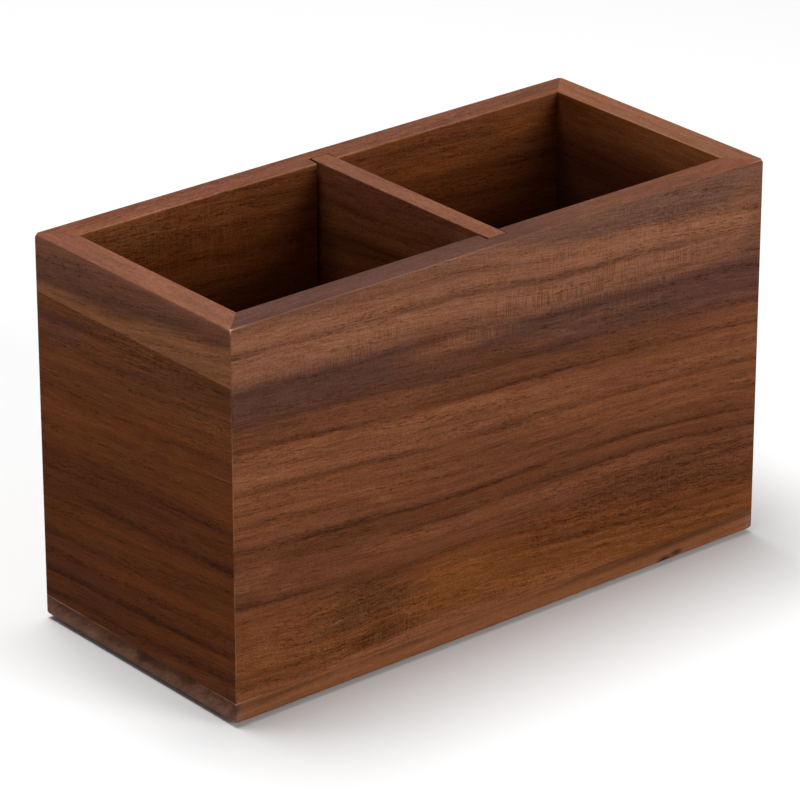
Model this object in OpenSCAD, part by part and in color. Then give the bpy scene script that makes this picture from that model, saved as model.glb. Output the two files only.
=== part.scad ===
// Walnut pen holder: a mitred box with a loose divider and a glued-on base panel

/* [Box] */
// Outside length, left to right
box_length = 165; // [120:1:240]
// Outside width, front to back
box_width = 75; // [60:1:140]
// Height from the underside of the base panel to the rim
box_height = 100; // [70:1:140]
// Thickness of the four walls
wall_thickness = 7.5; // [7:0.5:14]
// Thickness of the base panel glued under the walls
base_thickness = 5.5; // [3:0.5:10]
// Height of the strip glued along the top of the left wall
top_strip_height = 14.6; // [10:0.2:40]

/* [Divider] */
// Thickness of the loose divider board
divider_thickness = 5.3; // [4:0.1:8]
// Distance of the two grooves to the right of the middle of the box
groove_offset = 0; // [-30:1:30]
// Depth of the grooves in the front and back walls
groove_depth = 3.5; // [2:0.5:5]
// Width of the grooves beyond the divider's thickness
groove_play = 1; // [0.2:0.1:1.6]
// Gap left on the right of the divider, where it leans against its grooves
lean_gap = 0.05; // [0.05:0.05:0.1]
// Gap between each end of the divider and the floor of its groove
divider_end_gap = 0.2; // [0.1:0.1:1]

/* [Edges] */
// Radius of the four outer upright corners
corner_radius = 0.5; // [0.3:0.1:3]
// Radius along the outer edge of the rim
rim_outer_radius = 0.4; // [0.2:0.1:2]
// Radius along the inner edge of the rim
rim_inner_radius = 0.4; // [0.2:0.1:2]
// Radius along the two top edges of the divider
divider_edge_radius = 0.4; // [0.2:0.1:1.5]
// Radius along the lower edges of the base panel
base_edge_radius = 0.8; // [0.5:0.1:2.5]
// Chamfer along the upper edges of the base panel, beside the glue line
base_edge_chamfer = 0.3; // [0.2:0.1:1]

/* [Corner splines] */
// Thickness of each spline
spline_thickness = 2; // [1:0.5:2.5]
// Reach of each spline into each of the two walls that it joins
spline_reach = 3.5; // [2:0.5:4]
// Wood left between a spline's slot and the outer face
spline_skin = 2; // [1.5:0.1:2.5]
// Distance from the rim down to the top of each spline
spline_stop = 6; // [4:1:12]
// Glue gap around each spline
spline_glue_gap = 0.05; // [0.02:0.01:0.1]

/* [Feet] */
// Diameter of the rubber feet
foot_diameter = 10; // [6:0.5:14]
// Height of the rubber feet
foot_height = 1; // [0.8:0.1:3]
// Distance from the middle of a foot to the two nearest sides of the base panel
foot_inset = 12; // [9:0.5:20]
// Radius along the lower edge of each foot
foot_edge_radius = 0.3; // [0.1:0.1:0.5]

/* [Hidden] */
$fn = 96;

// Cutters run past the faces that they cut by this much
overrun = 1;
// The walls stand on the base panel and end at the rim
base_top = foot_height + base_thickness;
wall_height = box_height - base_thickness;
left_board_height = wall_height - top_strip_height;
spline_top = wall_height - spline_stop;
// Distance of a spline's middle from the two outer faces at its corner
spline_middle = spline_skin + (spline_reach + spline_thickness / 2) / sqrt(2);
// The divider spans the inside of the box and reaches into both grooves
groove_width = divider_thickness + groove_play;
divider_reach = groove_depth - divider_end_gap;
divider_length = box_width - 2 * wall_thickness + 2 * divider_reach;
divider_middle = groove_offset + groove_play / 2 - lean_gap;

front_walnut = "#7a4b33";
back_walnut = "#6b402b";
right_walnut = "#74472f";
left_walnut = "#5c3825";
strip_walnut = "#6a4432";
divider_walnut = "#8a5a44";
base_walnut = "#70462f";
spline_maple = "#c9a878";
foot_rubber = "#2b2a29";

// Outside of a rounded corner at the origin, with the body on +X and +Y
module corner_waste(radius) {
    difference() {
        translate([-overrun, -overrun])
            square(radius + overrun);
        translate([radius, radius])
            circle(radius);
    }
}

// Outside of a chamfered corner at the origin, with the body on +X and +Y
module chamfer_waste(size) {
    reach = size + overrun;
    polygon([[-overrun, -overrun], [reach, -overrun], [-overrun, reach]]);
}

// Carries a corner's waste along X, with the body on +Y and +Z
module along_x(length) {
    rotate([90, 0, 90])
        linear_extrude(length + 2 * overrun, center = true)
            children();
}

// Puts children from the front left corner of the box at any of its corners
module at_corner(right, back) {
    mirror([right, 0, 0])
        mirror([0, back, 0])
            translate([-box_length / 2, -box_width / 2, 0])
                children();
}

// Plan of a spline, or of its slot, measured from the outer corner of the box
module spline_plan(gap) {
    translate([spline_middle, spline_middle])
        rotate(-45)
            square([2 * (spline_reach + gap), spline_thickness + 2 * gap], center = true);
}

// Rounding of the upright corner and slot for the spline, cut from both walls
module corner_cuts() {
    translate([0, 0, -overrun])
        linear_extrude(wall_height + 2 * overrun)
            corner_waste(corner_radius);
    translate([0, 0, -overrun])
        linear_extrude(spline_top + spline_glue_gap + overrun)
            spline_plan(spline_glue_gap);
}

// Wall with mitred ends: outer face on Y = 0, inner face towards +Y, foot on Z = 0
module mitred_wall(length) {
    inner_length = length - 2 * wall_thickness;
    difference() {
        linear_extrude(wall_height)
            polygon([
                [-length / 2, 0],
                [length / 2, 0],
                [inner_length / 2, wall_thickness],
                [-inner_length / 2, wall_thickness],
            ]);
        translate([0, 0, wall_height])
            mirror([0, 0, 1])
                along_x(length)
                    corner_waste(rim_outer_radius);
        translate([0, wall_thickness, wall_height])
            rotate([180, 0, 0])
                along_x(length)
                    corner_waste(rim_inner_radius);
        for (end = [0, 1])
            mirror([end, 0, 0])
                translate([-length / 2, 0, 0])
                    corner_cuts();
    }
}

// Long wall with the groove that takes one end of the divider
module grooved_wall() {
    difference() {
        mitred_wall(box_length);
        translate([groove_offset - groove_width / 2, wall_thickness - groove_depth, -overrun])
            cube([groove_width, groove_depth + overrun, wall_height + 2 * overrun]);
    }
}

module front_wall() {
    color(front_walnut)
        translate([0, -box_width / 2, base_top])
            grooved_wall();
}

module back_wall() {
    color(back_walnut)
        mirror([0, 1, 0])
            translate([0, -box_width / 2, base_top])
                grooved_wall();
}

// Short wall on the left of the box
module short_wall() {
    translate([-box_length / 2, 0, base_top])
        rotate(-90)
            mitred_wall(box_width);
}

module right_wall() {
    color(right_walnut)
        mirror([1, 0, 0])
            short_wall();
}

// Part of the left wall above or below its glue line
module left_wall_part(bottom, height) {
    intersection() {
        short_wall();
        translate([-box_length, -box_width, base_top + bottom])
            cube([box_length, 2 * box_width, height]);
    }
}

module left_wall_board() {
    color(left_walnut)
        left_wall_part(0, left_board_height);
}

module left_wall_top_strip() {
    color(strip_walnut)
        left_wall_part(left_board_height, top_strip_height);
}

module divider() {
    color(divider_walnut)
        translate([divider_middle, 0, base_top])
            difference() {
                translate([-divider_thickness / 2, -divider_length / 2, 0])
                    cube([divider_thickness, divider_length, wall_height]);
                for (side = [0, 1])
                    mirror([side, 0, 0])
                        translate([divider_thickness / 2, 0, wall_height])
                            rotate(90)
                                mirror([0, 0, 1])
                                    along_x(divider_length)
                                        corner_waste(divider_edge_radius);
            }
}

// Waste of one long lower edge and one long upper edge of the base panel
module base_edge_cuts(length) {
    along_x(length)
        corner_waste(base_edge_radius);
    translate([0, 0, base_thickness])
        mirror([0, 0, 1])
            along_x(length)
                chamfer_waste(base_edge_chamfer);
}

module base_panel() {
    color(base_walnut)
        translate([0, 0, foot_height])
            difference() {
                translate([-box_length / 2, -box_width / 2, 0])
                    cube([box_length, box_width, base_thickness]);
                for (side = [0, 180]) {
                    rotate(side)
                        translate([0, -box_width / 2, 0])
                            base_edge_cuts(box_length);
                    rotate(side + 90)
                        translate([0, -box_length / 2, 0])
                            base_edge_cuts(box_width);
                }
                for (right = [0, 1], back = [0, 1])
                    at_corner(right, back)
                        translate([0, 0, -overrun])
                            linear_extrude(base_thickness + 2 * overrun)
                                corner_waste(corner_radius);
            }
}

// Stopped spline, standing on the base panel inside the mitre
module corner_spline(right, back) {
    color(spline_maple)
        at_corner(right, back)
            translate([0, 0, base_top])
                linear_extrude(spline_top)
                    spline_plan(0);
}

// Round pad stuck to the underside of the base panel
module rubber_foot(right, back) {
    color(foot_rubber)
        at_corner(right, back)
            translate([foot_inset, foot_inset, 0])
                rotate_extrude()
                    difference() {
                        square([foot_diameter / 2, foot_height]);
                        translate([foot_diameter / 2, 0])
                            mirror([1, 0])
                                corner_waste(foot_edge_radius);
                    }
}

front_wall();
back_wall();
right_wall();
left_wall_board();
left_wall_top_strip();
divider();
base_panel();
corner_spline(0, 0);  // spline_front_left
corner_spline(1, 0);  // spline_front_right
corner_spline(0, 1);  // spline_back_left
corner_spline(1, 1);  // spline_back_right
rubber_foot(0, 0);  // foot_front_left
rubber_foot(1, 0);  // foot_front_right
rubber_foot(0, 1);  // foot_back_left
rubber_foot(1, 1);  // foot_back_right
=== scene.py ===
"""Looks of a two-pocket walnut pen holder: a mitred box with a loose divider."""
import math

import bmesh
import bpy
from mathutils import Matrix, Vector


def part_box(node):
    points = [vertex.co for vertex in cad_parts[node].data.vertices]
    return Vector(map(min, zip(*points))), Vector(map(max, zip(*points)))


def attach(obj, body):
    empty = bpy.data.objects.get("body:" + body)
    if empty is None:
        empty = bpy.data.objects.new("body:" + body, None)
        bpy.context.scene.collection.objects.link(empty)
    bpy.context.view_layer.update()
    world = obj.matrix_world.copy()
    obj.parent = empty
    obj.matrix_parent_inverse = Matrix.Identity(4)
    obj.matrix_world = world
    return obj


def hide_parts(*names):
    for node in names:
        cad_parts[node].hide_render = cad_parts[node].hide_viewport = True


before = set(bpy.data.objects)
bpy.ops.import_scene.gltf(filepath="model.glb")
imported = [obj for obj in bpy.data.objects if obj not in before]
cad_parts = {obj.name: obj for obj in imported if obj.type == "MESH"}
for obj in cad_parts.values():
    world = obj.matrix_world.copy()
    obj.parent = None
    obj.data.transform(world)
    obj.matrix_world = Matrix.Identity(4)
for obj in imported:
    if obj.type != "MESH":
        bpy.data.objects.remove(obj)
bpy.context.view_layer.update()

MM = 0.001

# Sizes taken from the frame
BASE_LOW, BASE_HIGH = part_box("base_panel")
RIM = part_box("front_wall")[1].z
WALL_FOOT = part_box("front_wall")[0].z
WALL_HEIGHT = RIM - WALL_FOOT
GLUE_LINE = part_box("left_wall_top_strip")[0].z
BOX_LENGTH = BASE_HIGH.x - BASE_LOW.x
BOX_WIDTH = BASE_HIGH.y - BASE_LOW.y
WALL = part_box("right_wall")[1].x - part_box("right_wall")[0].x
DIVIDER_LOW, DIVIDER_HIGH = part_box("divider")

# Grooves for the divider, as in the frame, and the share of their width that is well inside them
GROOVE_DEPTH = 3.5 * MM
GROOVE_WIDTH = 6.3 * MM
WELL_INSIDE = 0.9

# Reach within which two lengths are the same, two corners merge, and a corner lies on a saw cut
SAME_REACH = 0.001 * MM
MERGE_REACH = 0.0005 * MM
SAW_REACH = 0.0001 * MM

# Rounding of the edges
CORNER_RADIUS = 0.5 * MM
RIM_OUTER_RADIUS = 0.4 * MM
RIM_INNER_RADIUS = 0.4 * MM
BACK_INNER_RADIUS = 0.7 * MM
DIVIDER_RADIUS = 0.4 * MM
BASE_LOWER_RADIUS = 0.8 * MM
BASE_CHAMFER = 0.3 * MM
GROOVE_EASED = 0.12 * MM
MITRE_EASED = 0.1 * MM
TIP_CUT = 0.7 * MM
NEAR_TIP_CUT = 0.35 * MM
ROUND_STEPS = 5
EASED_STEPS = 2

# An edge counts as eased from the first of these leans from the nearest axis, and fully at the second
LEAN_START = math.radians(15)
LEAN_FULL = math.radians(40)
# A face whose normal drops below this is a lower one, which is left as it is, since the pale edges are
# partly a painted highlight from the light above
LOWER_NORMAL = -0.1
# A mitre's normal has more than this along X and along Y
MITRE_NORMAL = 0.7
# An edge that turns by more than this shows as a sharp one
SHARP_ANGLE = math.radians(40)
# Face layer that says how much a face belongs to an eased edge
EASED_LAYER = "eased_edge"


# Boards

def all_of(bm):
    """Everything in a bmesh, as the cutting operators want it."""
    return bm.verts[:] + bm.edges[:] + bm.faces[:]


def block(low, high):
    """Plain block between two corners."""
    bm = bmesh.new()
    bmesh.ops.create_cube(bm, size=1.0)
    bmesh.ops.scale(bm, vec=high - low, verts=bm.verts)
    bmesh.ops.translate(bm, vec=(low + high) / 2, verts=bm.verts)
    return bm


def edges_where(bm, test):
    """Edges with both ends where the test holds."""
    return [e for e in bm.edges if all(test(v.co) for v in e.verts)]


def near(a, b):
    """Whether two lengths are the same to a thousandth of a millimetre."""
    return abs(a - b) < SAME_REACH


def round_edges(bm, edges, radius, steps=ROUND_STEPS):
    """Rounds edges to a radius."""
    bmesh.ops.bevel(
        bm,
        geom=edges,
        offset=radius,
        offset_type="OFFSET",
        segments=steps,
        profile=0.5,
        affect="EDGES",
        material=-1,
    )


def saw(bm, point, normal):
    """Saws off what lies behind a plane and closes the cut."""
    bmesh.ops.bisect_plane(
        bm,
        geom=all_of(bm),
        dist=SAW_REACH,
        plane_co=point,
        plane_no=normal,
        clear_inner=True,
    )
    close(bm)


def close(bm):
    """Closes every open loop with a face."""
    open_edges = [e for e in bm.edges if e.is_boundary]
    bmesh.ops.holes_fill(bm, edges=open_edges, sides=0)


def mitred_wall(length, inner_radius=RIM_INNER_RADIUS, tips=(TIP_CUT, TIP_CUT)):
    """Wall lying along X, with its outer face on Y = 0, and its foot on Z = 0.

    tips are how far the sharp upper corners at its two ends are worn down.
    """
    half = length / 2
    bm = block(Vector((-half, 0, 0)), Vector((half, length, WALL_HEIGHT)))
    uprights = edges_where(bm, lambda p: near(p.y, 0))
    uprights = [e for e in uprights if not near(e.verts[0].co.z, e.verts[1].co.z)]
    round_edges(bm, uprights, CORNER_RADIUS)
    round_edges(bm, edges_where(bm, lambda p: near(p.z, WALL_HEIGHT)), RIM_OUTER_RADIUS)
    saw(bm, Vector((-half, 0, 0)), Vector((1, -1, 0)))
    saw(bm, Vector((half, 0, 0)), Vector((-1, -1, 0)))
    saw(bm, Vector((0, WALL, 0)), Vector((0, -1, 0)))
    inner_rim = edges_where(bm, lambda p: near(p.y, WALL) and near(p.z, WALL_HEIGHT))
    round_edges(bm, inner_rim, inner_radius)
    for end, tip in zip((-half, half), tips):
        inwards = Vector((-math.copysign(1, end), 1, -1)).normalized()
        saw(bm, Vector((end, 0, WALL_HEIGHT)) + inwards * tip, inwards)
    ease_mitres(bm)
    return bm


def ease_mitres(bm):
    """Takes the sharpness off the top of both mitres, so a fine line shows where two walls meet."""
    bm.normal_update()
    mitres = [f for f in bm.faces if min(f.normal.y, abs(f.normal.x)) > MITRE_NORMAL]
    edges = [
        e for f in mitres for e in f.edges
        if all(near(v.co.z, WALL_HEIGHT) for v in e.verts)
    ]
    round_edges(bm, edges, MITRE_EASED, 1)


def easing(normal):
    """How much a face belongs to an eased edge: 0 on flat or lower faces, 1 where it leans most."""
    if normal.z < LOWER_NORMAL:
        return 0.0
    lean = math.acos(min(1.0, max(abs(part) for part in normal)))
    return min(1.0, max(0.0, (lean - LEAN_START) / (LEAN_FULL - LEAN_START)))


def cut_groove(bm):
    """Cuts the divider's groove from top to foot in the middle of a wall's inner face."""
    floor = WALL - GROOVE_DEPTH
    half = GROOVE_WIDTH / 2

    def in_groove(face):
        """Whether a face lies between the groove's sides."""
        return abs(face.calc_center_median().x) < half * WELL_INSIDE

    for side in (-half, half):
        bmesh.ops.bisect_plane(bm, geom=all_of(bm), plane_co=(side, 0, 0), plane_no=(1, 0, 0))
    middle = [f for f in bm.faces if in_groove(f)]
    corners_and_edges = dict.fromkeys(part for f in middle for part in (*f.verts, *f.edges))
    middle_geom = [*corners_and_edges, *middle]
    bmesh.ops.bisect_plane(bm, geom=middle_geom, plane_co=(0, floor, 0), plane_no=(0, 1, 0))
    waste = [f for f in bm.faces if in_groove(f) and f.calc_center_median().y > floor + GROOVE_EASED]
    bmesh.ops.delete(bm, geom=waste, context="FACES")
    floor_edges = [
        e for e in edges_where(bm, lambda p: near(p.y, floor) and near(abs(p.x), half))
        if e.is_boundary
    ]
    bmesh.ops.bridge_loops(bm, edges=floor_edges)
    close(bm)
    mouth = [
        e for e in bm.edges
        if all(near(abs(v.co.x), half) and v.co.y > floor - GROOVE_EASED for v in e.verts)
        and not all(near(v.co.y, floor) for v in e.verts)
        and not all(near(v.co.z, 0) for v in e.verts)
    ]
    round_edges(bm, mouth, GROOVE_EASED, EASED_STEPS)


def stand(bm, outer_face, quarter_turns):
    """Stands a wall on the base panel, turned about Z, with its outer face where it belongs."""
    bmesh.ops.translate(bm, vec=(0, -outer_face, WALL_FOOT), verts=bm.verts)
    cos, sin = ((1, 0), (0, 1), (-1, 0), (0, -1))[quarter_turns]
    turn = Matrix(((cos, -sin, 0), (sin, cos, 0), (0, 0, 1)))
    bmesh.ops.rotate(bm, cent=(0, 0, 0), matrix=turn, verts=bm.verts)


def finish_piece(bm, node, body, material):
    """Makes a bmesh the visible piece of a node, at the node's place."""
    bmesh.ops.remove_doubles(bm, verts=bm.verts, dist=MERGE_REACH)
    bmesh.ops.recalc_face_normals(bm, faces=bm.faces)
    bm.normal_update()
    eased = bm.faces.layers.float.new(EASED_LAYER)
    for face in bm.faces:
        face.smooth = True
        face[eased] = easing(face.normal)
    mesh = bpy.data.meshes.new(node + "_looks")
    bm.to_mesh(mesh)
    bm.free()
    piece = bpy.data.objects.new(node + "_looks", mesh)
    bpy.context.scene.collection.objects.link(piece)
    mesh.set_sharp_from_angle(angle=SHARP_ANGLE)
    weighted = piece.modifiers.new("flat_faces", "WEIGHTED_NORMAL")
    weighted.keep_sharp = True
    mesh.materials.append(material)
    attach(piece, body)
    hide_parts(node)


def make_long_wall(node, quarter_turns, inner_radius, tips, material):
    """Front or back wall, with its groove."""
    bm = mitred_wall(BOX_LENGTH, inner_radius, tips)
    cut_groove(bm)
    stand(bm, BOX_WIDTH / 2, quarter_turns)
    finish_piece(bm, node, "box", material)


def make_right_wall(material):
    """Right wall, in one piece."""
    bm = mitred_wall(BOX_WIDTH)
    stand(bm, BOX_LENGTH / 2, 1)
    finish_piece(bm, "right_wall", "box", material)


def make_left_part(node, keep, material):
    """Strip of the left wall above (keep = 1) or below (keep = -1) its glue line."""
    bm = mitred_wall(BOX_WIDTH, tips=(TIP_CUT, NEAR_TIP_CUT))
    stand(bm, BOX_LENGTH / 2, 3)
    saw(bm, Vector((0, 0, GLUE_LINE)), Vector((0, 0, keep)))
    finish_piece(bm, node, "box", material)


def make_divider(material):
    """Loose board with eased top edges."""
    bm = block(DIVIDER_LOW, DIVIDER_HIGH)
    top = edges_where(bm, lambda p: near(p.z, DIVIDER_HIGH.z))
    long_top = [e for e in top if near(e.verts[0].co.x, e.verts[1].co.x)]
    round_edges(bm, long_top, DIVIDER_RADIUS)
    finish_piece(bm, "divider", "divider", material)


def make_base(material):
    """Base panel with rounded lower edges and a small chamfer beside the glue line."""
    bm = block(BASE_LOW, BASE_HIGH)
    lower = edges_where(bm, lambda p: near(p.z, BASE_LOW.z))
    round_edges(bm, lower, BASE_LOWER_RADIUS)
    corners = [
        e for e in bm.edges
        if all(near(abs(v.co.x) - BOX_LENGTH / 2, abs(v.co.y) - BOX_WIDTH / 2) for v in e.verts)
        and not near(e.verts[0].co.z, e.verts[1].co.z)
    ]
    round_edges(bm, corners, CORNER_RADIUS)
    upper = edges_where(bm, lambda p: near(p.z, BASE_HIGH.z))
    round_edges(bm, upper, BASE_CHAMFER, 1)
    finish_piece(bm, "base_panel", "box", material)


# Shader tools

def srgb(red, green, blue):
    """Colour from its 0 to 255 screen values, as a shader takes it."""
    def linear(value):
        share = value / 255
        return share / 12.92 if share <= 0.04045 else ((share + 0.055) / 1.055) ** 2.4
    return (linear(red), linear(green), linear(blue), 1.0)


def plug(tree, socket, value):
    """Links an output to a socket, or sets the socket's value."""
    if isinstance(value, bpy.types.NodeSocket):
        tree.links.new(value, socket)
    else:
        socket.default_value = value


def put(tree, kind, sockets=None, **settings):
    """Adds a node, with its settings, and values or links on its sockets."""
    node = tree.nodes.new(kind)
    for name, value in settings.items():
        setattr(node, name, value)
    for name, value in (sockets or {}).items():
        plug(tree, node.inputs[name], value)
    return node


def calc(tree, operation, *values):
    """Output of a Math node."""
    return put(tree, "ShaderNodeMath", dict(enumerate(values)), operation=operation).outputs[0]


def vector_calc(tree, operation, *values):
    """Output of a Vector Math node."""
    return put(tree, "ShaderNodeVectorMath", dict(enumerate(values)), operation=operation).outputs[0]


def swing(tree, noise, reach):
    """Noise made to swing about zero."""
    return calc(tree, "MULTIPLY", calc(tree, "SUBTRACT", noise, 0.5), reach)


def between(tree, value, low, high, to_low=0.0, to_high=1.0, kind="SMOOTHSTEP"):
    """Value taken from one range to another."""
    sockets = {"Value": value, "From Min": low, "From Max": high, "To Min": to_low, "To Max": to_high}
    return put(tree, "ShaderNodeMapRange", sockets, interpolation_type=kind).outputs["Result"]


def lumps(tree, vector, size, detail=2.0, roughness=0.5):
    """Noise whose lumps have a size in millimetres along, across and through a board."""
    scaled = vector_calc(tree, "DIVIDE", vector, size)
    sockets = {"Vector": scaled, "Scale": 1.0, "Detail": detail, "Roughness": roughness}
    return put(tree, "ShaderNodeTexNoise", sockets, noise_dimensions="3D").outputs["Fac"]


def ramp_over(tree, value, stops):
    """Colour ramp whose (position, colour) stops are in the units of its value."""
    low, high = stops[0][0], stops[-1][0]
    node = put(tree, "ShaderNodeValToRGB", {"Fac": between(tree, value, low, high, kind="LINEAR")})
    elements = node.color_ramp.elements
    while len(elements) < len(stops):
        elements.new(1.0)
    for element, (position, colour) in zip(elements, stops):
        element.position = (position - low) / (high - low)
        element.color = colour
    return node.outputs["Color"]


def mixed(tree, share, first, second):
    """Two colours mixed, by the places of the Mix node's sockets, because these share their names."""
    return put(tree, "ShaderNodeMix", {0: share, 6: first, 7: second}, data_type="RGBA").outputs[2]


def mixed_values(tree, share, first, second):
    """Two values mixed, in the same way."""
    return put(tree, "ShaderNodeMix", {0: share, 2: first, 3: second}).outputs[0]


def group_tree(name, inputs, outputs):
    """New node group, with the sockets inside it for its inputs and outputs."""
    tree = bpy.data.node_groups.new(name, "ShaderNodeTree")
    kinds = {1: "NodeSocketFloat", 3: "NodeSocketVector", 4: "NodeSocketColor"}
    for label, default in inputs.items():
        size = len(default) if isinstance(default, tuple) else 1
        socket = tree.interface.new_socket(label, in_out="INPUT", socket_type=kinds[size])
        socket.default_value = default
    for label, kind in outputs.items():
        tree.interface.new_socket(label, in_out="OUTPUT", socket_type=kind)
    entry = tree.nodes.new("NodeGroupInput").outputs
    leave = tree.nodes.new("NodeGroupOutput").inputs
    return tree, entry, leave


def use_group(tree, group, sockets):
    """Places a node group in a tree and fills its sockets."""
    node = put(tree, "ShaderNodeGroup", node_tree=group)
    for label, value in sockets.items():
        plug(tree, node.inputs[label], value)
    return node.outputs


# Walnut

# Sizes of the figure in the wood, in millimetres along, across and through a board
LONG_BEND = (110, 30, 30)
SHORT_BEND = (24, 7, 7)
CURL = (2.6, 3.0, 3.0)
STREAK = (95, 6.0, 6.0)
FIBRE = (7.0, 0.38, 0.38)
SPECKLE = (0.55, 0.45, 0.45)
RIPPLE = (0.36, 6.0, 6.0)
PORE = (2.0, 0.28, 0.3)
PORE_ROW = (30, 1.8, 2.6)
CLOUD = (30.0, 12.0, 12.0)
LINE_FADE = (30.0, 5.0, 5.0)
RUBBED_AND_LIT_SPOT = (14.0, 14.0, 14.0)

# Parts of a noise's range that are stretched to its full effect
NOISE_RANGE = (0.3, 0.7)
RIPPLE_RANGE = (0.25, 0.75)
RUBBED_AND_LIT_RANGE = (0.35, 0.65)
FADE_RANGE = (0.32, 0.6)

# How far the rings swing where they bend and curl, in millimetres of growth
LONG_SWING = 4.0
SHORT_SWING = 1.3
LEAST_CURL = 0.3
# Stretch across the board in which one bend of the rings turns into the next, in millimetres each way
BEND_BLEND = 5

# Steps through the noise from one board's seed to the next
RING_SEED_STEP = (311.0, 47.0, 83.0)
GRAIN_SEED_STEP = 71.0

# Pores are spots of a noise above a limit, which is lower within the rows of pores
PORE_ROW_RANGE = (0.42, 0.68)
PORE_LIMITS = (0.7, 0.5)
PORE_EDGE = 0.14
# How much more of a porous patch counts as rows of pores, and how much stronger its fibres are
POROUS_ROWS = 0.2
POROUS_FIBRE = 0.7
# How much of its pores a board shows on its sanded top edge
RIM_PORES = 0.3

# A dark line comes up slowly before its middle and ends sooner after it, in millimetres of growth
LINE_START = 2.0
LINE_END = 0.9
# Stretch in which a line fades out at each end, in millimetres along the board each way
LINE_TAPER = 9.0
# Depth of a line where it is faintest, and how much of it shows on an inner face
FAINTEST_LINE = 0.35
INNER_LINES = 0.5
NO_LINE = (0, 0, 0, 1)

# How far the streaks and the ripple fray the edges of the bands, in millimetres of growth
BAND_FRAY = 9.0
RIPPLE_FRAY = 6.0
# How far the streaks fray a patch, and how much of it is even, as shares of its size
PATCH_FRAY = 1.2
PATCH_CORE = 0.25

# Share of the wood's colour that is left in a dark line, in a pore, and in the darkest streak
LINE_TONE = (0.45, 0.41, 0.43)
PORE_TONE = (0.34, 0.32, 0.36)
DARKEST = 0.3
# How far red, green and blue follow the fibres: a bright fibre gets a pale painted glint, paler than its
# board
FIBRE_GLINT = (0.72, 1.15, 1.75)
# How much speckle is added to the fibres, and how much deeper the ripple is in a rippled patch
SPECKLE_DEPTH = 0.7
RIPPLED_DEPTH = 0.6

# Oiled surface: roughness from smooth to rough streaks and in the pores, relief, and faint gloss
ROUGHNESS = (0.52, 0.64)
PORE_ROUGHNESS = 0.25
STREAK_HEIGHT = 0.5
BUMP_STRENGTH = 0.3
BUMP_DEPTH = 0.1 * MM
GLOSS = 0.02

# How pale an eased edge stays between its rubbed and highlit spots, where it has no patches of its own;
# the paleness is partly wear and partly painted highlight
LEAST_RUBBED_AND_LIT = 0.35
# Depth below the rim at which the tone of a board's top edge starts to fade out, in millimetres
RIM_EDGE = 0.05
# Middle of a wall, and the stretch each way in which its outer figure turns into its inner one
HALF_WALL = WALL / MM / 2
INNER_BLEND = 0.5

# Wood tones, named as a maker would, and tones that paint light and shade
PALE_TAN = srgb(123, 79, 56)
TAN = srgb(114, 73, 52)
GREY_BROWN = srgb(102, 69, 54)
PURPLE_BROWN = srgb(78, 49, 39)
DARK_PURPLE = srgb(84, 51, 43)
NUT_BROWN = srgb(118, 71, 45)
RED_BROWN = srgb(108, 63, 38)
COCOA = srgb(98, 57, 35)
DEEP_BROWN = srgb(91, 51, 29)
HONEY = srgb(114, 66, 32)
# Pale tone that paints the light falling into a pocket under its rim
PAINTED_LIGHT_NUT = srgb(136, 76, 39)
DARK_HONEY = srgb(103, 57, 29)
SMOKE = srgb(66, 38, 23)
# Painted shade: near black standing in for the shadow in a groove and in the gap beside the divider
GROOVE_PAINTED_SHADE = srgb(34, 18, 12)
END_GRAIN = srgb(119, 86, 69)
# Pale eased edges: partly sanded wear, partly painted highlight and glint
PALE_ARRIS_AND_HIGHLIGHT = srgb(190, 144, 118)


def growth_group():
    """Growth: how far, in millimetres, a point lies across the growth rings of its board."""
    tree, entry, leave = group_tree(
        "growth_rings",
        {"Board": (0.0, 0.0, 0.0), "Drop": 0.0, "Tilt": 0.3, "Wander": 1.0, "Curl": 0.0, "Seed": 0.0},
        {"Growth": "NodeSocketFloat"},
    )
    seeded = vector_calc(tree, "MULTIPLY_ADD", RING_SEED_STEP, entry["Seed"], entry["Board"])
    axes = put(tree, "ShaderNodeSeparateXYZ", {0: entry["Board"]}).outputs
    long_bend = swing(tree, lumps(tree, seeded, LONG_BEND, detail=1.0), LONG_SWING)
    short_bend = swing(tree, lumps(tree, seeded, SHORT_BEND), SHORT_SWING)
    curl = swing(tree, lumps(tree, seeded, CURL, detail=1.0), entry["Curl"])
    growth = calc(tree, "SUBTRACT", axes["Y"], entry["Drop"])
    growth = calc(tree, "MULTIPLY_ADD", axes["Z"], entry["Tilt"], growth)
    bend = calc(tree, "ADD", long_bend, short_bend)
    growth = calc(tree, "MULTIPLY_ADD", bend, entry["Wander"], growth)
    tree.links.new(calc(tree, "ADD", growth, curl), leave["Growth"])
    return tree


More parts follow.
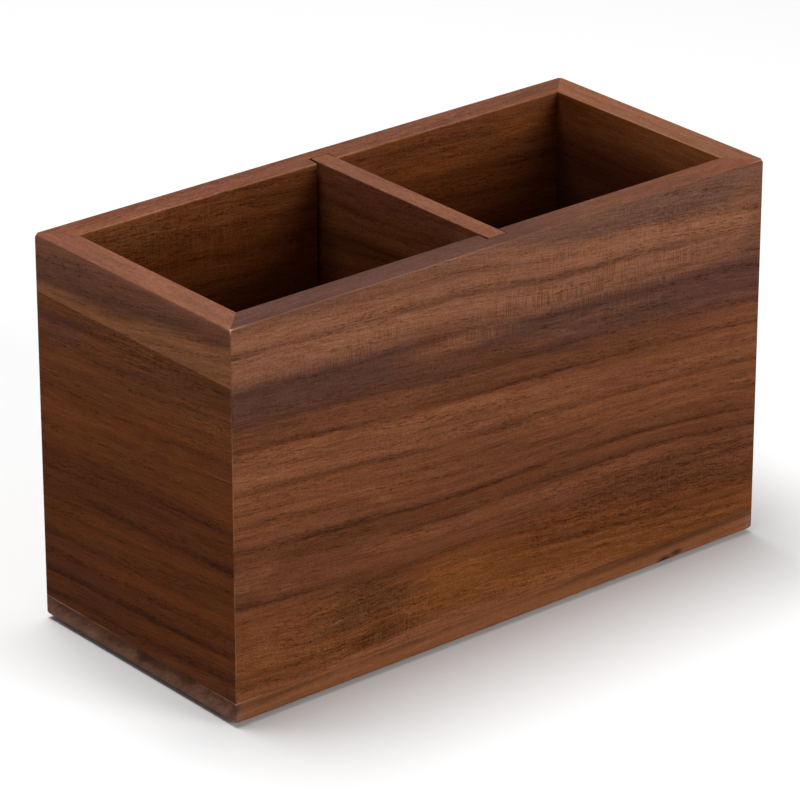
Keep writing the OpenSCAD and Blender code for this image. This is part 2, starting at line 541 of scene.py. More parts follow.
def grain_group():
    """Streaks and fibres along the grain, fine ripple across it, and the open pores."""
    tree, entry, leave = group_tree(
        "walnut_grain",
        {"Board": (0.0, 0.0, 0.0), "Growth": 0.0, "Runout": 0.03, "Porous": 0.0, "Seed": 0.0},
        {label: "NodeSocketFloat" for label in ("Streak", "Fibre", "Ripple", "Pore")},
    )
    axes = put(tree, "ShaderNodeSeparateXYZ", {0: entry["Board"]}).outputs
    runout = calc(tree, "MULTIPLY", axes["X"], entry["Runout"])
    across = calc(tree, "SUBTRACT", entry["Growth"], runout)
    flow = put(tree, "ShaderNodeCombineXYZ", {"X": axes["X"], "Y": across, "Z": axes["Z"]}).outputs[0]
    flow = vector_calc(tree, "ADD", flow, calc(tree, "MULTIPLY", entry["Seed"], GRAIN_SEED_STEP))
    streak = lumps(tree, flow, STREAK, detail=4.0, roughness=0.75)
    fibre = lumps(tree, flow, FIBRE, roughness=0.7)
    speckle = lumps(tree, flow, SPECKLE, detail=1.0)
    fibre = calc(tree, "ADD", fibre, swing(tree, speckle, SPECKLE_DEPTH))
    ripple = between(tree, lumps(tree, flow, RIPPLE, detail=0.0), *RIPPLE_RANGE, kind="LINEAR")
    dashes = lumps(tree, flow, PORE, detail=1.0)
    rows = calc(tree, "MULTIPLY_ADD", entry["Porous"], POROUS_ROWS, lumps(tree, flow, PORE_ROW))
    limit = between(tree, rows, *PORE_ROW_RANGE, *PORE_LIMITS)
    pore = between(tree, dashes, limit, calc(tree, "ADD", limit, PORE_EDGE))
    for label, value in (("Streak", streak), ("Fibre", fibre), ("Ripple", ripple), ("Pore", pore)):
        tree.links.new(value, leave[label])
    return tree


def surface_group():
    """Oiled surface: a board's band colour with its lines, streaks, ripple, pores and painted fibre
    glint, and its pale eased edges, which are partly wear and partly painted highlight.
    """
    tree, entry, leave = group_tree(
        "oiled_walnut",
        {
            "Band Color": (0.2, 0.08, 0.04, 1.0),
            "Line": 0.0,
            "Streak": 0.5,
            "Fibre": 0.5,
            "Ripple": 0.5,
            "Pore": 0.0,
            "Eased": 0.0,
            "Streak Depth": 1.4,
            "Fibre Depth": 1.1,
            "Ripple Depth": 0.1,
            "Pore Depth": 0.6,
        },
        {"Color": "NodeSocketColor", "Roughness": "NodeSocketFloat", "Height": "NodeSocketFloat"},
    )
    dark_line = vector_calc(tree, "MULTIPLY", entry["Band Color"], LINE_TONE)
    colour = mixed(tree, entry["Line"], entry["Band Color"], dark_line)
    level = calc(tree, "ADD", swing(tree, entry["Streak"], entry["Streak Depth"]), 1.0)
    level = calc(tree, "ADD", level, swing(tree, entry["Ripple"], entry["Ripple Depth"]))
    level = calc(tree, "MAXIMUM", level, DARKEST)
    lit = put(tree, "ShaderNodeVectorMath", {0: colour, "Scale": level}, operation="SCALE").outputs[0]
    fibre = swing(tree, entry["Fibre"], entry["Fibre Depth"])
    # Painted glint on the bright fibres
    glint = vector_calc(tree, "MULTIPLY_ADD", FIBRE_GLINT, fibre, (1.0, 1.0, 1.0))
    glint = vector_calc(tree, "MAXIMUM", glint, (DARKEST, DARKEST, DARKEST))
    lit = vector_calc(tree, "MULTIPLY", lit, glint)
    pore = calc(tree, "MULTIPLY", entry["Pore"], entry["Pore Depth"])
    lit = mixed(tree, pore, lit, vector_calc(tree, "MULTIPLY", lit, PORE_TONE))
    # Pale eased edges: partly wear, partly painted highlight
    tree.links.new(mixed(tree, entry["Eased"], lit, PALE_ARRIS_AND_HIGHLIGHT), leave["Color"])
    rough = between(tree, entry["Streak"], *NOISE_RANGE, *ROUGHNESS, kind="LINEAR")
    tree.links.new(calc(tree, "MULTIPLY_ADD", pore, PORE_ROUGHNESS, rough), leave["Roughness"])
    height = calc(tree, "SUBTRACT", calc(tree, "MULTIPLY", entry["Streak"], STREAK_HEIGHT), pore)
    tree.links.new(height, leave["Height"])
    return tree


GROWTH_RINGS = growth_group()
WALNUT_GRAIN = grain_group()
OILED_WALNUT = surface_group()


def board_place(tree, along, down, start):
    """Millimetres along, across and through a board, measured from a point."""
    along, down = Vector(along), Vector(down)
    turn = Matrix((along, down, along.cross(down)))
    sockets = {
        "Vector": put(tree, "ShaderNodeTexCoord").outputs["Object"],
        "Location": -(turn @ Vector(start)) / MM,
        "Rotation": turn.to_euler(),
        "Scale": (1 / MM, 1 / MM, 1 / MM),
    }
    return put(tree, "ShaderNodeMapping", sockets).outputs["Vector"]


def drawn_drop(tree, along, points):
    """Drop of the rings along the board, on a curve drawn through (millimetres along, drop) points."""
    length = points[-1][0]
    node = put(tree, "ShaderNodeFloatCurve", {"Value": calc(tree, "DIVIDE", along, length)})
    node.mapping.clip_min_y = -1.0
    drawn = node.mapping.curves[0].points
    while len(drawn) < len(points):
        drawn.new(0.5, 0.5)
    for spot, (place, drop) in zip(drawn, points):
        spot.location = (place / length, drop / length)
    node.mapping.update()
    return calc(tree, "MULTIPLY", node.outputs[0], length)


def ring_drop(tree, axes, bends):
    """How far the rings have dropped at a point of the board.

    bends are (depth, points) from the top down: below its depth, the rings follow the curve through
    its points.
    """
    drop = drawn_drop(tree, axes["X"], bends[0][1])
    for depth, points in bends[1:]:
        share = between(tree, axes["Y"], depth - BEND_BLEND, depth + BEND_BLEND)
        drop = mixed_values(tree, share, drop, drawn_drop(tree, axes["X"], points))
    return drop


def ring_lines(tree, growth, along, lines):
    """Dark lines along the rings.

    lines are (start, end, places): between two points along the board, lines at places, which are
    (millimetres of growth, depth).
    """
    total = 0.0
    for start, end, places in lines:
        stops = [(places[0][0] - LINE_START, NO_LINE)]
        for middle, depth in places:
            foot = max(middle - LINE_START, stops[-1][0])
            stops += [(foot, NO_LINE), (middle, (depth, depth, depth, 1)), (middle + LINE_END, NO_LINE)]
        mask = ramp_over(tree, growth, stops)
        mask = calc(tree, "MULTIPLY", mask, between(tree, along, start - LINE_TAPER, start + LINE_TAPER))
        mask = calc(tree, "MULTIPLY", mask, between(tree, along, end + LINE_TAPER, end - LINE_TAPER))
        total = calc(tree, "MAXIMUM", mask, total)
    return total


def soft_patch(tree, board, streak, middle, size):
    """Mask of a soft-edged patch that frays along the grain.

    It goes right through the board, unless it is given a third size.
    """
    shrink = [1 / part for part in size]
    offset = vector_calc(tree, "SUBTRACT", board, (*middle, 0.0)[:3])
    spread = vector_calc(tree, "MULTIPLY", offset, (*shrink, 0.0)[:3])
    far = put(tree, "ShaderNodeVectorMath", {0: spread}, operation="LENGTH").outputs["Value"]
    far = calc(tree, "ADD", far, swing(tree, streak, PATCH_FRAY))
    return between(tree, far, PATCH_CORE, 1.0, 1.0, 0.0)


def patches_of(tree, board, streak, patches):
    """Sum of soft patches, each (middle, size, strength)."""
    total = 0.0
    for middle, size, strength in patches:
        mask = calc(tree, "MULTIPLY", soft_patch(tree, board, streak, middle, size), strength)
        total = calc(tree, "ADD", mask, total)
    return total


def rubbed_and_highlit_edges(tree, board, cloud, worn_and_highlit, arris):
    """How pale a board's eased edges are, as wear and painted highlight: in its worn and highlit patches
    or, without them, in spots all over.
    """
    if worn_and_highlit is None:
        spots = lumps(tree, board, RUBBED_AND_LIT_SPOT)
        pale = between(tree, spots, *RUBBED_AND_LIT_RANGE, LEAST_RUBBED_AND_LIT * arris, arris)
    else:
        pale = calc(tree, "MULTIPLY", patches_of(tree, board, cloud, worn_and_highlit), arris)
    eased = put(tree, "ShaderNodeAttribute", attribute_name=EASED_LAYER).outputs["Fac"]
    return calc(tree, "MULTIPLY", eased, pale)


def walnut(
    name, along, down, start, seed, bends, bands, lines,
    inside=None, stains=(), curls=(), ripples=(), pored=(), worn_and_highlit=None,
    rim=None, rim_depth=0.3, arris=0.45, tilt=0.3, wander=0.6, runout=0.03,
    streak_depth=1.4, fibre_depth=1.2, ripple_depth=0.07, pore_depth=0.6,
):
    """Oiled walnut for one board.

    along and down are the directions of the grain and across it, and start is the point that both are
    measured from. bands are (millimetres of growth, tone), and inside gives the bands of the inner face
    if they differ. stains are (middle, size, tone, strength). curls are patches of wavy grain, ripples
    patches of cross-grain ripple, and pored patches with more open pores. rim is the tone of the board's
    top edge, as (millimetres along, tone), which fades out at rim_depth. arris is how pale the eased
    edges are, partly as wear and partly as painted highlight, and worn_and_highlit gives the patches
    that they are pale in, or None for spots everywhere.
    """
    material = bpy.data.materials.new(name)
    material.use_nodes = True
    tree = material.node_tree
    shader = tree.nodes["Principled BSDF"]
    board = board_place(tree, along, down, start)
    axes = put(tree, "ShaderNodeSeparateXYZ", {0: board}).outputs
    cloud = lumps(tree, board, CLOUD, detail=3.0)
    growth = use_group(tree, GROWTH_RINGS, {
        "Board": board,
        "Drop": ring_drop(tree, axes, bends),
        "Tilt": tilt,
        "Wander": wander,
        "Curl": calc(tree, "ADD", patches_of(tree, board, cloud, curls), LEAST_CURL),
        "Seed": seed,
    })["Growth"]
    fade = between(tree, lumps(tree, board, LINE_FADE), *FADE_RANGE, FAINTEST_LINE, 1.0)
    line = calc(tree, "MULTIPLY", ring_lines(tree, growth, axes["X"], lines), fade)
    porous = patches_of(tree, board, cloud, pored)
    rippled = patches_of(tree, board, cloud, ripples)
    grain = use_group(tree, WALNUT_GRAIN, {
        "Board": board,
        "Growth": growth,
        "Runout": runout,
        "Porous": calc(tree, "ADD", porous, line),
        "Seed": seed,
    })

    frayed = calc(tree, "ADD", growth, swing(tree, grain["Streak"], BAND_FRAY))
    ripple_fray = calc(tree, "MULTIPLY", rippled, RIPPLE_FRAY)
    frayed = calc(tree, "ADD", frayed, swing(tree, grain["Ripple"], ripple_fray))
    colour = ramp_over(tree, frayed, bands)
    if inside:
        depth = calc(tree, "ABSOLUTE", axes["Z"])
        inner = between(tree, depth, HALF_WALL - INNER_BLEND, HALF_WALL + INNER_BLEND)
        colour = mixed(tree, inner, colour, ramp_over(tree, frayed, inside))
        line = calc(tree, "MULTIPLY", line, between(tree, inner, 0.0, 1.0, 1.0, INNER_LINES))
    for middle, size, tone, strength in stains:
        mask = soft_patch(tree, board, grain["Streak"], middle, size)
        colour = mixed(tree, calc(tree, "MULTIPLY", mask, strength), colour, tone)
    if rim:
        on_rim = between(tree, axes["Y"], RIM_EDGE, rim_depth, 1.0, 0.0)
        colour = mixed(tree, on_rim, colour, ramp_over(tree, axes["X"], rim))
        line = calc(tree, "MULTIPLY", line, calc(tree, "SUBTRACT", 1.0, on_rim))
        pore_depth = between(tree, on_rim, 0.0, 1.0, pore_depth, RIM_PORES * pore_depth)

    surface = use_group(tree, OILED_WALNUT, {
        "Band Color": colour,
        "Line": line,
        "Streak": grain["Streak"],
        "Fibre": grain["Fibre"],
        "Ripple": grain["Ripple"],
        "Pore": grain["Pore"],
        "Eased": rubbed_and_highlit_edges(tree, board, cloud, worn_and_highlit, arris),
        "Streak Depth": streak_depth,
        "Fibre Depth": calc(tree, "MULTIPLY_ADD", porous, POROUS_FIBRE * fibre_depth, fibre_depth),
        "Ripple Depth": calc(tree, "MULTIPLY_ADD", rippled, RIPPLED_DEPTH, ripple_depth),
        "Pore Depth": pore_depth,
    })
    bump = {"Height": surface["Height"], "Strength": BUMP_STRENGTH, "Distance": BUMP_DEPTH}
    plug(tree, shader.inputs["Base Color"], surface["Color"])
    plug(tree, shader.inputs["Roughness"], surface["Roughness"])
    plug(tree, shader.inputs["Normal"], put(tree, "ShaderNodeBump", bump).outputs["Normal"])
    shader.inputs["Specular IOR Level"].default_value = GLOSS
    return material


ALONG_X = (1, 0, 0)
ALONG_Y = (0, 1, 0)
DOWN = (0, 0, -1)
NEAR_TOP = (BASE_LOW.x, BASE_LOW.y, RIM)

# Outside length and width of the box, and the divider's length, in millimetres as the boards are measured
LENGTH = round(BOX_LENGTH / MM, 2)
WIDTH = round(BOX_WIDTH / MM, 2)
DIVIDER_LENGTH = (DIVIDER_HIGH.y - DIVIDER_LOW.y) / MM
# Lines that run the whole length of a board start and end past it
WHOLE = (-20, 200)
# Shadow in a groove: its size from the top to the foot of the wall
GROOVE_SHADOW = (4.0, 400, 4.0)


def front_walnut():
    """Figured board: tan under the rim, a purple-brown band, then red-brown with dark lines."""
    return walnut(
        "front_walnut", ALONG_X, DOWN, NEAR_TOP, seed=1.0,
        bends=[
            (0, [(0, 0.3), (40, 2.2), (68, 3.6), (82, 5.1), (96, 6.8), (124, 7.8), (LENGTH, 10.5)]),
            (27, [(0, 0), (40, 3.7), (54, 5.0), (82, 6.4), (110, 7.9), (138, 9.6), (LENGTH, 12)]),
            (53, [(0, 0), (47, 4.0), (67, 5.4), (100, 5.2), (131, 6.2), (LENGTH, 9.8)]),
            (73, [(0, 0), (30, 1.6), (62, 0.2), (80, 0.8), (110, 3.4), (140, 6.0), (LENGTH, 7.5)]),
        ],
        bands=[
            (-14, NUT_BROWN), (-9, GREY_BROWN), (-3, GREY_BROWN), (0, TAN), (4, PALE_TAN),
            (11, PALE_TAN), (13.5, TAN), (16.5, PURPLE_BROWN), (22, PURPLE_BROWN), (27, COCOA),
            (31, RED_BROWN), (35, NUT_BROWN), (39, NUT_BROWN), (43, RED_BROWN), (46, RED_BROWN),
            (51, RED_BROWN), (55, COCOA), (58, DEEP_BROWN), (61, COCOA), (65, RED_BROWN),
            (70, COCOA), (76, DARK_HONEY), (82, HONEY), (88, HONEY), (94, NUT_BROWN),
        ],
        lines=[
            (*WHOLE, [(6.9, 0.7), (16.5, 0.4), (24.8, 0.5), (30.8, 0.75), (36.0, 0.3), (41.5, 0.75)]),
            (*WHOLE, [(46.5, 0.3), (50.0, 0.55), (52.5, 0.35), (56.0, 0.85), (66.5, 0.3), (74.0, 0.4)]),
            (48, 200, [(13.0, 0.3), (21.0, 0.4), (60.8, 0.8)]),
            (-20, 45, [(60.5, 0.25), (63.5, 0.35), (70.5, 0.7), (88.5, 0.6), (91.0, 0.4)]),
            (80, 200, [(69.0, 0.55), (71.5, 0.4), (76.3, 0.5), (78.8, 0.6), (81.2, 0.85), (83.6, 0.4),
                       (86.2, 0.45)]),
        ],
        stains=[
            ((62, 22), (22, 8), COCOA, 0.7),
            ((70, 22), (24, 3.2), TAN, 0.6),
            ((110, 27.5), (34, 3.2), srgb(100, 63, 46), 0.6),
            ((5, 63), (13, 5), NUT_BROWN, 0.6),
            ((80, 29), (22, 6), COCOA, 0.7),
            ((100, 18), (44, 4), PALE_TAN, 0.4),
            ((154, 32), (30, 8), DARK_PURPLE, 0.6),
            ((150, 25.5), (24, 3.4), DARK_PURPLE, 0.75),
            ((164, 24), (8, 20), DARK_PURPLE, 0.45),
            ((48, 2.5), (20, 3.5), PALE_TAN, 0.7),
            ((143, 3.2), (20, 4.2), GREY_BROWN, 0.7),
            ((161, 7), (9, 4), PALE_TAN, 0.6),
            ((46, 35), (26, 3.5), COCOA, 0.6),
            ((20, 82), (36, 12), srgb(110, 65, 38), 0.7),
            ((42, 81), (24, 9), SMOKE, 0.6),
            ((45, 90), (12, 6), SMOKE, 0.4),
            ((3, 69), (8, 3), SMOKE, 0.5),
            ((150, 65), (34, 11), DEEP_BROWN, 0.85),
            ((132, 76), (48, 9), DEEP_BROWN, 0.5),
            ((154, 87), (20, 4), DARK_HONEY, 0.7),
            ((138, 45), (45, 16), srgb(104, 60, 36), 0.6),
            # Painted shade in the divider's groove
            ((LENGTH / 2, 50, 6.5), GROOVE_SHADOW, GROOVE_PAINTED_SHADE, 0.5),
        ],
        curls=[((128, 78), (60, 13), 1.3), ((34, 86), (30, 11), 1.3)],
        ripples=[
            ((24, 14), (30, 5), 0.4), ((80, 19), (36, 7), 1.0), ((120, 21), (38, 8), 0.7),
            ((44, 15), (16, 6), 0.5), ((110, 9), (50, 6), 0.25), ((120, 77), (60, 12), 0.2),
            ((48, 88), (22, 8), 0.35),
        ],
        pored=[
            ((128, 76), (60, 13), 0.8), ((30, 84), (36, 12), 0.8), ((138, 7), (40, 9), 0.35),
            ((100, 90), (60, 6), 0.35), ((30, 8), (40, 8), 0.3),
        ],
        tilt=-0.5, arris=0.6, ripple_depth=0.06,
        # The strongest patch is a painted glint on the near tip; the rest pale the eased edges as wear
        # and painted highlight
        worn_and_highlit=[
            ((0, 0), (1.1, 1.1), 1.9), ((0, 0), (8, 2), 0.5), ((45, 0), (65, 2), 0.3),
            ((120, 0), (40, 2), 0.1), ((LENGTH, 0), (6, 4), 0.8), ((0, 40), (2, 22), 0.4),
            ((0, 78), (2, 22), 0.3), ((LENGTH, 12), (2, 14), 0.3),
        ],
        rim=[
            (0, srgb(84, 55, 46)), (50, srgb(85, 56, 47)), (90, srgb(82, 53, 42)),
            (110, srgb(102, 64, 48)), (LENGTH, srgb(114, 69, 48)),
        ],
    )


def back_walnut():
    """Board figured like the front outside, and golden brown with long dark streaks inside."""
    return walnut(
        "back_walnut", ALONG_X, DOWN, (BASE_LOW.x, BASE_HIGH.y, RIM), seed=2.0,
        bends=[(0, [(0, 0), (80, 5.0), (LENGTH, 9.0)])],
        bands=[
            (-12, GREY_BROWN), (-5, TAN), (2, PALE_TAN), (9, TAN), (13, NUT_BROWN),
            (18, PURPLE_BROWN), (22, PURPLE_BROWN), (27, RED_BROWN), (33, NUT_BROWN), (40, RED_BROWN),
            (46, NUT_BROWN), (52, RED_BROWN), (57, DEEP_BROWN), (61, COCOA), (67, RED_BROWN),
            (72, DARK_HONEY), (79, HONEY), (85, HONEY), (94, NUT_BROWN),
        ],
        inside=[
            (-14, srgb(112, 63, 34)), (-4, srgb(112, 62, 32)), (3, srgb(112, 60, 29)),
            (10, srgb(108, 56, 24)), (22, srgb(102, 53, 23)), (38, srgb(87, 44, 21)),
            (55, srgb(97, 51, 23)), (80, srgb(87, 44, 21)), (95, RED_BROWN),
        ],
        lines=[
            (*WHOLE, [(-5, 0.6), (0, 0.5), (4.5, 0.7), (11, 0.6), (17, 0.7), (26, 0.6), (40, 0.6),
                      (66, 0.6)]),
            (-20, 110, [(31, 0.5), (46, 0.7), (53, 0.5), (58, 0.8), (72, 0.5), (79, 0.6)]),
            (60, 200, [(35.5, 0.5), (49.5, 0.5), (56, 0.7), (61, 0.6), (75, 0.6), (82, 0.5)]),
        ],
        stains=[
            ((16, 3), (26, 7), srgb(132, 78, 46), 0.6),
            ((64, 6, -7.5), (18, 5, 3), srgb(80, 42, 20), 0.5),
            ((107, 4.5, -7.5), (18, 3, 3), srgb(84, 44, 20), 0.5),
            ((117, 10, -7.5), (22, 4, 3), srgb(142, 77, 36), 0.6),
            ((147, 6, -7.5), (14, 4, 3), srgb(142, 77, 36), 0.6),
            # Painted shade in the divider's groove
            ((LENGTH / 2, 50, -6.5), GROOVE_SHADOW, GROOVE_PAINTED_SHADE, 0.9),
        ],
        ripples=[
            ((55, 18, 0), (40, 8, 4), 0.7), ((125, 22, 0), (30, 8, 4), 0.5),
            ((35, 9, -7.5), (55, 16, 3), 0.4),
        ],
        curls=[((50, 84, 0), (50, 10, 4), 1.0)],
        pored=[((35, 5), (50, 11), 0.6), ((125, 5), (45, 10), 0.4), ((60, 82, 0), (60, 12, 4), 0.8)],
        tilt=0.4, wander=1.2, fibre_depth=1.4, arris=0.3,
        worn_and_highlit=[((30, 0), (40, 4), 0.9), ((75, 0), (30, 4), 0.6), ((125, 0), (50, 4), 0.6)],
        rim=[
            (0, srgb(120, 71, 50)), (30, srgb(117, 70, 50)), (60, srgb(107, 65, 48)),
            (110, srgb(104, 63, 46)), (LENGTH, srgb(110, 67, 47)),
        ],
    )


def right_walnut():
    """Board that goes on with the front wall's bands outside; inside, it is pale under the rim and
    darkens downwards, which is painted light falling into the pocket.
    """
    return walnut(
        "right_walnut", ALONG_Y, DOWN, (BASE_HIGH.x, BASE_LOW.y, RIM), seed=3.0,
        bends=[(0, [(0, 0), (40, -1.2), (WIDTH, -3.0)])],
        bands=[
            (-3, GREY_BROWN), (8, GREY_BROWN), (11, TAN), (15, PALE_TAN), (22, TAN), (23.5, TAN),
            (27.5, PURPLE_BROWN), (34, PURPLE_BROWN), (39, COCOA), (43, RED_BROWN), (47, NUT_BROWN),
            (51, NUT_BROWN), (56, RED_BROWN), (61, RED_BROWN), (65, COCOA), (68, DEEP_BROWN),
            (71, COCOA), (74, RED_BROWN), (78, DEEP_BROWN), (83.5, DARK_HONEY), (89.5, HONEY),
            (96, HONEY),
        ],
        # Painted light: the inner face is pale under the rim and darker downwards, as light falls into
        # the pocket
        inside=[
            (-10, PAINTED_LIGHT_NUT), (9, PAINTED_LIGHT_NUT), (12.5, srgb(118, 66, 36)), (16.5, srgb(98, 49, 29)),
            (21.5, srgb(74, 37, 22)), (36, srgb(66, 34, 20)), (48, srgb(80, 42, 29)),
            (60, srgb(62, 34, 22)), (78, srgb(78, 41, 28)), (95, DEEP_BROWN),
        ],
        lines=[
            (*WHOLE, [(3, 0.5), (9, 0.6), (17.9, 0.7), (24, 0.3), (27.5, 0.4), (32, 0.4), (35.8, 0.5),
                      (41.8, 0.75)]),
            (*WHOLE, [(47, 0.3), (52.5, 0.75), (56.3, 0.3), (59.8, 0.55), (65.8, 0.85), (70.6, 0.8),
                      (75, 0.4)]),
            (*WHOLE, [(79, 0.5), (81.5, 0.5), (84.5, 0.6), (87.5, 0.5), (90.5, 0.4)]),
        ],
        stains=[
            # The first stain is a pale patch under the rim on the inner face, more of the painted light
            # falling in
            ((16, 3, 7.5), (34, 7, 3), srgb(178, 106, 64), 0.6),
            ((70, 4, 7.5), (18, 9, 3), srgb(108, 58, 26), 0.8),
        ],
        ripples=[((30, 29, 0), (40, 8, 4), 0.6), ((60, 14, 0), (30, 6, 4), 0.4)],
        curls=[((30, 84, 0), (50, 10, 4), 1.0)],
        pored=[((10, 5, 0), (30, 7, 4), 0.7), ((35, 84, 0), (60, 12, 4), 0.8)],
        tilt=0.4, wander=0.8, arris=0.5,
        rim=[(0, srgb(121, 78, 56)), (40, srgb(125, 80, 58)), (WIDTH, srgb(125, 79, 55))],
    )


def strip_walnut():
    """Top strip of the left wall: a purple-brown wedge over a tan one."""
    return walnut(
        "strip_walnut", ALONG_Y, DOWN, NEAR_TOP, seed=4.0,
        bends=[(0, [(0, 0.3), (14, 2.8), (37, 6.4), (61, 8.7), (WIDTH, 9.6)])],
        bands=[
            (-9, srgb(116, 73, 54)), (-5.5, srgb(115, 72, 54)), (-3.5, srgb(106, 66, 48)),
            (-1, srgb(103, 63, 46)), (1.5, srgb(90, 55, 39)), (2.6, srgb(92, 56, 40)),
            (4.2, srgb(112, 70, 45)), (6.5, srgb(133, 84, 53)), (10, srgb(136, 86, 55)),
            (14, srgb(126, 80, 50)),
        ],
        lines=[(*WHOLE, [(-4.0, 0.3), (7.5, 0.4), (11.5, 0.35)])],
        stains=[
            ((50, 7.5), (32, 3), DARK_PURPLE, 0.3),
            ((6, 2.5), (13, 3), srgb(114, 71, 50), 0.5),
        ],
        tilt=0.3, wander=0.3, fibre_depth=1.1, rim_depth=1.8, arris=0.4,
        # The strongest patch is a painted glint on the near tip; the rest pale the eased edges as wear
        # and painted highlight
        worn_and_highlit=[((0, 0), (1.1, 1.1), 2.6), ((0, 0), (4, 3), 0.6), ((40, 0), (50, 3), 0.25)],
        rim=[(0, srgb(118, 75, 55)), (30, srgb(126, 80, 60)), (WIDTH, srgb(119, 73, 55))],
    )


def left_walnut():
    """Lower board of the left wall: red-brown with dark lines towards the foot."""
    return walnut(
        "left_walnut", ALONG_Y, DOWN, NEAR_TOP, seed=5.0,
        bends=[(0, [(0, 0), (40, 2.0), (WIDTH, 3.6)])],
        bands=[
            (10, srgb(93, 52, 29)), (18, srgb(99, 55, 29)), (26, srgb(106, 58, 28)),
            (36, srgb(97, 50, 21)), (42, srgb(103, 54, 23)), (52, srgb(86, 42, 16)),
            (60, srgb(83, 41, 16)), (68, srgb(95, 48, 17)), (80, srgb(90, 45, 18)),
            (88, srgb(86, 43, 18)), (95, srgb(93, 49, 25)),
        ],
        lines=[
            (*WHOLE, [(16.5, 0.4), (29, 0.35), (34, 0.3), (44, 0.25), (51.5, 0.4), (56.0, 0.4)]),
            (*WHOLE, [(61.0, 0.9), (67.0, 0.5), (73.0, 0.6), (78.5, 0.4), (83.4, 0.9), (90, 0.5)]),
        ],
        stains=[
            ((14, 24), (22, 5), srgb(112, 63, 33), 0.5),
            ((66, 21), (18, 5), DARK_PURPLE, 0.5),
        ],
        pored=[((35, 18), (40, 5), 0.8)],
        tilt=0.3, wander=0.7, runout=0.045, arris=0.14,
        streak_depth=1.7, fibre_depth=1.3, ripple_depth=0.09,
    )


def divider_walnut():
    """Plain board, pinkish brown along its top edge."""
    return walnut(
        "divider_walnut", ALONG_Y, DOWN, (DIVIDER_LOW.x, DIVIDER_LOW.y, RIM), seed=6.0,
        bends=[(0, [(0, 0), (30, 2.6), (66, 5.0)])],
        bands=[
            (-10, srgb(135, 77, 52)), (1, srgb(135, 77, 52)), (5, srgb(118, 67, 38)),
            (9, srgb(132, 76, 42)), (14, srgb(98, 52, 28)), (22, srgb(112, 60, 27)),
            (30, srgb(85, 46, 25)), (50, srgb(98, 55, 27)), (70, srgb(84, 45, 23)), (95, RED_BROWN),
        ],
        lines=[
            (*WHOLE, [(0, 0.4), (5, 0.6), (13, 0.7), (26, 0.7), (41, 0.6), (63, 0.6), (80, 0.5)]),
        ],
        stains=[
            # Painted reflection: a pale pinkish patch near the front of the divider's left face, under
            # its top
            ((7, 5, 0), (9, 7, 3), srgb(150, 96, 74), 0.5),
            # Painted shade on both ends of the divider, where they sit in the grooves
            ((0, 50), (3.6, 400), GROOVE_PAINTED_SHADE, 0.4),
            ((DIVIDER_LENGTH, 50), (3.8, 400), GROOVE_PAINTED_SHADE, 0.8),
        ],
        tilt=0.4, wander=1.0, arris=0.3,
        rim=[(0, srgb(118, 74, 55)), (66, srgb(118, 74, 55))],
    )


def base_walnut():
    """Base panel: grain along the box, so its short edges are cloudy end grain."""
    return walnut(
        "base_walnut", ALONG_X, ALONG_Y, (BASE_LOW.x, BASE_LOW.y, BASE_LOW.z), seed=7.0,
        bends=[(0, [(0, 0), (80, 0.3), (LENGTH, 0.6)])],
        bands=[
            (-6, srgb(128, 81, 51)), (5, srgb(124, 77, 48)), (9, NUT_BROWN), (20, RED_BROWN),
            (32, NUT_BROWN), (46, COCOA), (58, NUT_BROWN), (70, RED_BROWN), (84, NUT_BROWN),
        ],
        lines=[
            (4, 60, [(4.0, 0.8), (24, 0.4), (35, 0.4), (54, 0.4), (68, 0.4)]),
            (60, 162, [(4.0, 0.6), (24, 0.5), (35, 0.6), (54, 0.6), (68, 0.6)]),
        ],
        stains=[
            ((0, 37, 2), (3, 400, 60), END_GRAIN, 1.0),
            ((LENGTH, 37, 2), (3, 400, 60), END_GRAIN, 1.0),
            ((0, 38, 5.6), (3, 90, 4.8), srgb(86, 51, 34), 0.9),
            ((0, 36, 5.0), (3, 7, 3), srgb(66, 41, 30), 0.7),
            ((0, 20, 5.2), (3, 9, 3), srgb(68, 42, 29), 0.7),
            ((135, 0, 0.6), (3.5, 4, 1.6), srgb(40, 26, 20), 0.9),
            ((139, 0, 1.4), (3, 4, 1.2), srgb(48, 34, 30), 0.8),
            ((125, 0, 5.6), (70, 5, 2.6), srgb(98, 57, 34), 0.7),
            ((45, 0, 5.6), (24, 5, 1.2), srgb(98, 57, 34), 0.5),
        ],
        tilt=1.0, wander=0.25, fibre_depth=0.8, pore_depth=0.3, arris=0.6,
        # Pale chamfer beside the glue line: partly wear, partly painted highlight
        worn_and_highlit=[
            ((0, 6, 5.5), (3, 14, 1), 1.0), ((0, 38, 5.5), (3, 30, 1), 0.3),
            ((0, 68, 5.5), (3, 24, 1), 1.3), ((4, 0, 5.5), (6, 2, 1), 0.6),
        ],
    )


# Pieces that hardly show

# Fine mottling: its scale, how much colour is left where it is dark, and its reach in roughness
MOTTLE_SCALE = 900.0
MOTTLE_DEPTH = 0.75
MOTTLE_ROUGHNESS = 0.06


def plain_material(name, colour, roughness):
    """Even material with a little mottling."""
    material = bpy.data.materials.new(name)
    material.use_nodes = True
    tree = material.node_tree
    shader = tree.nodes["Principled BSDF"]
    where = put(tree, "ShaderNodeTexCoord").outputs["Object"]
    sockets = {"Vector": where, "Scale": MOTTLE_SCALE, "Detail": 3.0}
    mottle = put(tree, "ShaderNodeTexNoise", sockets).outputs["Fac"]
    darker = tuple(MOTTLE_DEPTH * part for part in colour[:3]) + (1.0,)
    smooth, rough = roughness - MOTTLE_ROUGHNESS, roughness + MOTTLE_ROUGHNESS
    plug(tree, shader.inputs["Base Color"], mixed(tree, mottle, darker, colour))
    plug(tree, shader.inputs["Roughness"], between(tree, mottle, *NOISE_RANGE, smooth, rough))
    return material


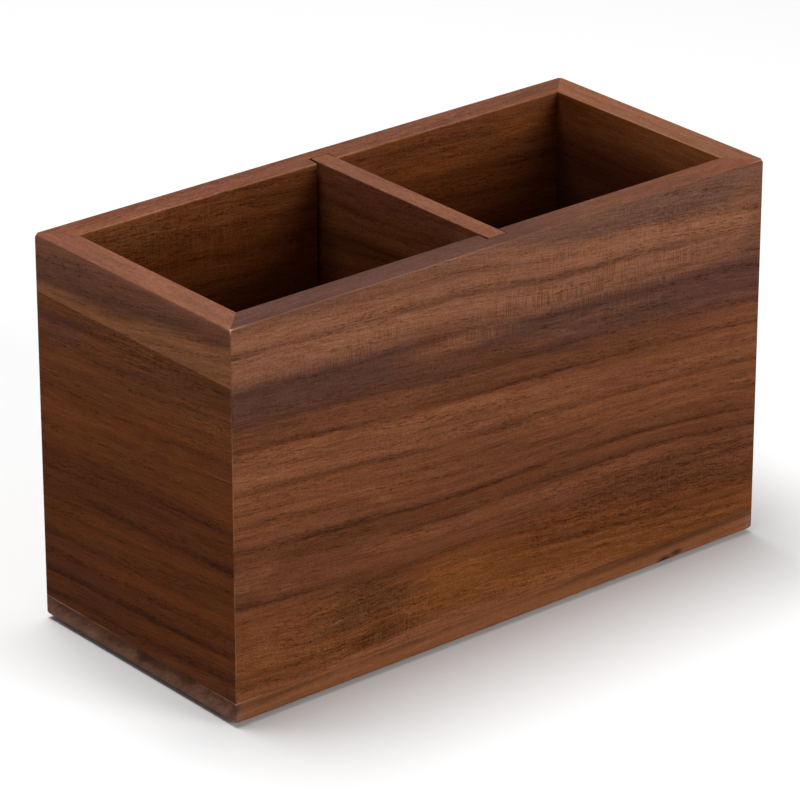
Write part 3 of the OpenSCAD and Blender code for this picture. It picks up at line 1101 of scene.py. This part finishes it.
def finish_nodes(start, material):
    """Gives a material to the frame's nodes whose names begin with start."""
    for name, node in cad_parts.items():
        if name.startswith(start):
            node.data.materials.clear()
            node.data.materials.append(material)


# The pen holder

make_long_wall("front_wall", 0, RIM_INNER_RADIUS, (NEAR_TIP_CUT, TIP_CUT), front_walnut())
make_long_wall("back_wall", 2, BACK_INNER_RADIUS, (TIP_CUT, TIP_CUT), back_walnut())
make_right_wall(right_walnut())
make_left_part("left_wall_top_strip", 1, strip_walnut())
make_left_part("left_wall_board", -1, left_walnut())
make_divider(divider_walnut())
make_base(base_walnut())
finish_nodes("spline_", plain_material("spline_maple", srgb(203, 168, 120), 0.6))
finish_nodes("foot_", plain_material("foot_rubber", srgb(40, 39, 38), 0.75))


# Studio

FLOOR_REACH = 4.0
FLOOR_TONE = (0.9, 0.9, 0.9, 1.0)
FLOOR_ROUGHNESS = 0.9
FLOOR_GLOSS = 0.1
# Strength of the surroundings as light, which the camera and reflections see as plain white
ROOM_LIGHT = 0.15
# Where the lights point: the middle of the pen holder
LIGHT_AIM = Vector((0.0, 0.0, 0.05))

# Camera fitted to the photograph: lens in millimetres, place in metres, angles in degrees
LENS = 215.2
SENSOR = 36.0
CAMERA_PLACE = (-0.6819, -0.8177, 0.5253)
CAMERA_DOWN = 24.18
CAMERA_TURN = -39.75
CLIP_START = 0.05
CLIP_END = 20.0


def make_floor():
    """Pale floor that keeps the shadow."""
    bm = bmesh.new()
    bmesh.ops.create_grid(bm, x_segments=1, y_segments=1, size=FLOOR_REACH)
    mesh = bpy.data.meshes.new("floor")
    bm.to_mesh(mesh)
    bm.free()
    floor = bpy.data.objects.new("floor", mesh)
    bpy.context.scene.collection.objects.link(floor)
    material = bpy.data.materials.new("pale_floor")
    material.use_nodes = True
    shader = material.node_tree.nodes["Principled BSDF"]
    shader.inputs["Base Color"].default_value = FLOOR_TONE
    shader.inputs["Roughness"].default_value = FLOOR_ROUGHNESS
    shader.inputs["Specular IOR Level"].default_value = FLOOR_GLOSS
    mesh.materials.append(material)


def make_softbox(name, place, width, power):
    """Large square soft light, pointed at the pen holder."""
    light = bpy.data.lights.new(name, "AREA")
    light.shape = "SQUARE"
    light.size = width
    light.energy = power
    lamp = bpy.data.objects.new(name, light)
    lamp.location = place
    lamp.rotation_euler = (LIGHT_AIM - Vector(place)).to_track_quat("-Z", "Y").to_euler()
    bpy.context.scene.collection.objects.link(lamp)


def make_world():
    """Even pale surroundings, white to the camera and dimmer as light."""
    world = bpy.data.worlds.new("pale_room")
    bpy.context.scene.world = world
    world.use_nodes = True
    tree = world.node_tree
    back = tree.nodes["Background"]
    rays = put(tree, "ShaderNodeLightPath").outputs
    seen = calc(tree, "MAXIMUM", rays["Is Camera Ray"], rays["Is Glossy Ray"])
    seen = calc(tree, "MAXIMUM", seen, rays["Is Transmission Ray"])
    tree.links.new(between(tree, seen, 0.0, 1.0, ROOM_LIGHT, 1.0, kind="LINEAR"), back.inputs["Strength"])
    back.inputs["Color"].default_value = (1.0, 1.0, 1.0, 1.0)


def make_camera():
    """Long lens, looking down on the left front corner."""
    camera = bpy.data.cameras.new("camera")
    camera.lens = LENS
    camera.sensor_width = SENSOR
    camera.clip_start = CLIP_START
    camera.clip_end = CLIP_END
    holder = bpy.data.objects.new("camera", camera)
    holder.location = CAMERA_PLACE
    holder.rotation_euler = (math.radians(90 - CAMERA_DOWN), 0.0, math.radians(CAMERA_TURN))
    bpy.context.scene.collection.objects.link(holder)
    bpy.context.scene.camera = holder


make_floor()
make_world()
make_softbox("top_softbox", place=(-0.1, 0.25, 1.5), width=0.8, power=23.0)
make_softbox("front_softbox", place=(0.45, -1.25, 0.44), width=0.6, power=10.5)
make_camera()
bpy.context.scene.view_settings.view_transform = "Standard"
